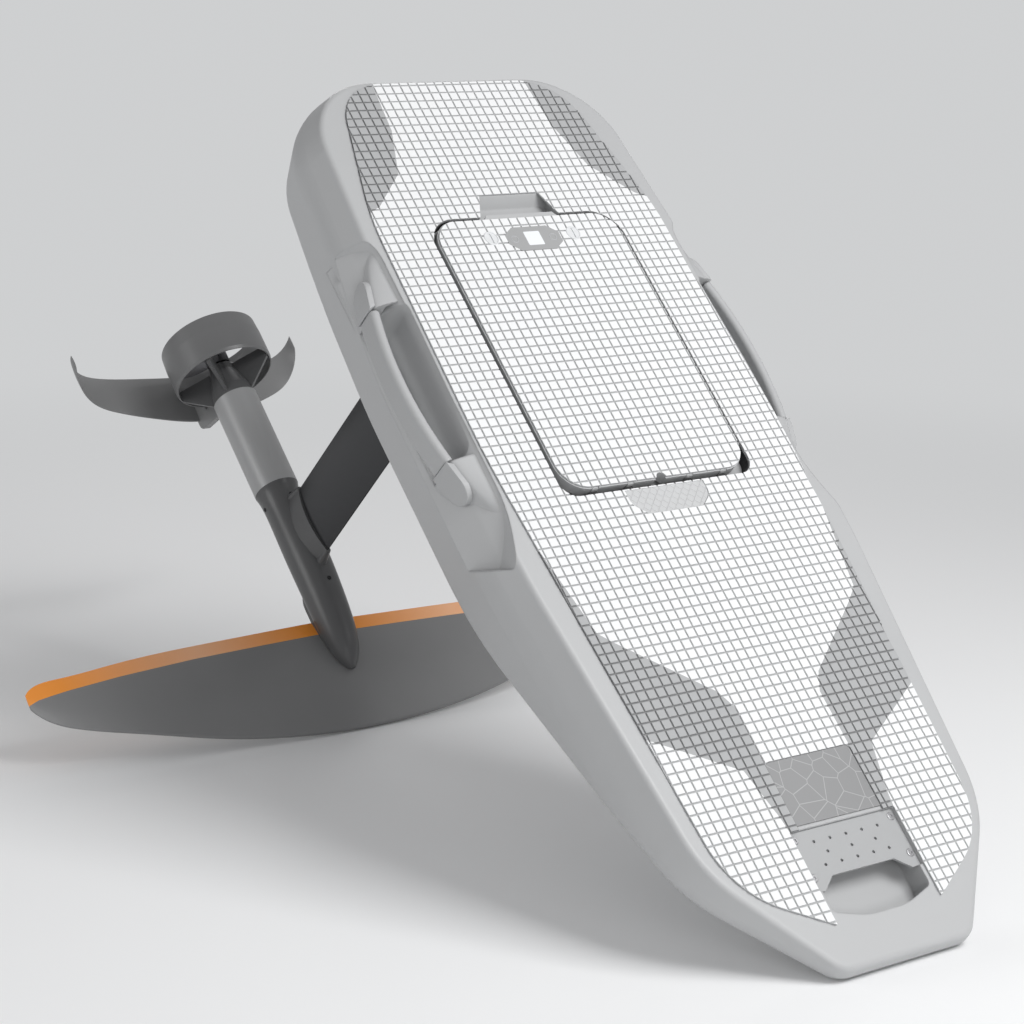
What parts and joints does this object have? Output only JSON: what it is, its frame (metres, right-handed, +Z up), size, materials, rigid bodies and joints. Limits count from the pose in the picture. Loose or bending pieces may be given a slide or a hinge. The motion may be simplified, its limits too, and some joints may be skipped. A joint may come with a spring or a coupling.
{
  "type": "electric hydrofoil surfboard",
  "caption": "rideable board with a grooved deck, battery lid and side handles, on a mast with a ducted drive, main wing and tail wing, resting on bow and wing",
  "frame": {"origin": "bottom centre of the bounding box, on the floor that the bow and the main wing rest on", "axes": "+Z up, +X the way the bow points along the floor, +Y to port and the mirror plane's normal; the board itself is pitched 44.90 degrees nose down"},
  "size_m": [2.0904, 1.276, 1.1946],
  "materials": {
    "hull": "satin moulded shell",
    "strap": "soft matt sleeve",
    "pad_white": "matt foam, grooved",
    "pad_grey": "matt foam, grooved",
    "patch": "fine woven-look grip",
    "lid": "satin",
    "badge": "satin, blank",
    "plate": "satin",
    "steel": "brushed",
    "latch": "matt",
    "console": "satin",
    "display": "glossy window",
    "seal": "matt",
    "battery": "matt",
    "pod": "bead-blasted, light grey",
    "foil_dark": "dark satin",
    "mast": "dark anodised satin",
    "stripe": "orange, satin",
    "propeller": "satin"
  },
  "bodies": {
    "board": {"badge_plate": "badge", "battery": "battery", "bow_plate": "plate", "bow_plate_screws": "steel", "deck_pad": "pad_white", "deck_pad_bow_port": "pad_grey", "deck_pad_bow_starboard": "pad_grey", "deck_pad_tail_port": "pad_grey", "deck_pad_tail_starboard": "pad_grey", "duct_ring": "foil_dark", "duct_struts": "foil_dark", "front_wing": "foil_dark", "front_wing_stripe": "stripe", "fuselage": "foil_dark", "handle_caps_port": "hull", "handle_caps_starboard": "hull", "handle_strap_port": "strap", "handle_strap_starboard": "strap", "hinge_pins": "steel", "hull": "hull", "lid_seal": "seal", "mast": "mast", "mast_base": "foil_dark", "mast_base_bolts": "steel", "mast_collar": "foil_dark", "pod": "pod", "smooth_patch": "patch", "stabilizer": "foil_dark", "stabilizer_pylon": "foil_dark", "tail_housing": "foil_dark", "wing_bolts": "steel", "wing_fairing": "foil_dark"},
    "lid": {"hatch_lid": "lid", "lid_pad": "pad_white", "console": "console", "display": "display", "latch_buttons": "latch"},
    "drive": {"propeller": "propeller", "propeller_shaft": "steel"}
  },
  "joints": [
    {"name": "lid_hinge", "type": "hinge", "parent": "board", "child": "lid", "pos_m": [0.45606, 0, 0.61247], "axis": [0, 1, 0], "range_deg": [0, 100]},
    {"name": "propeller_spin", "type": "hinge", "parent": "board", "child": "drive", "pos_m": [-0.90393, 0, 0.61554], "axis": [0.7083, 0, -0.7059], "continuous": true}
  ]
}
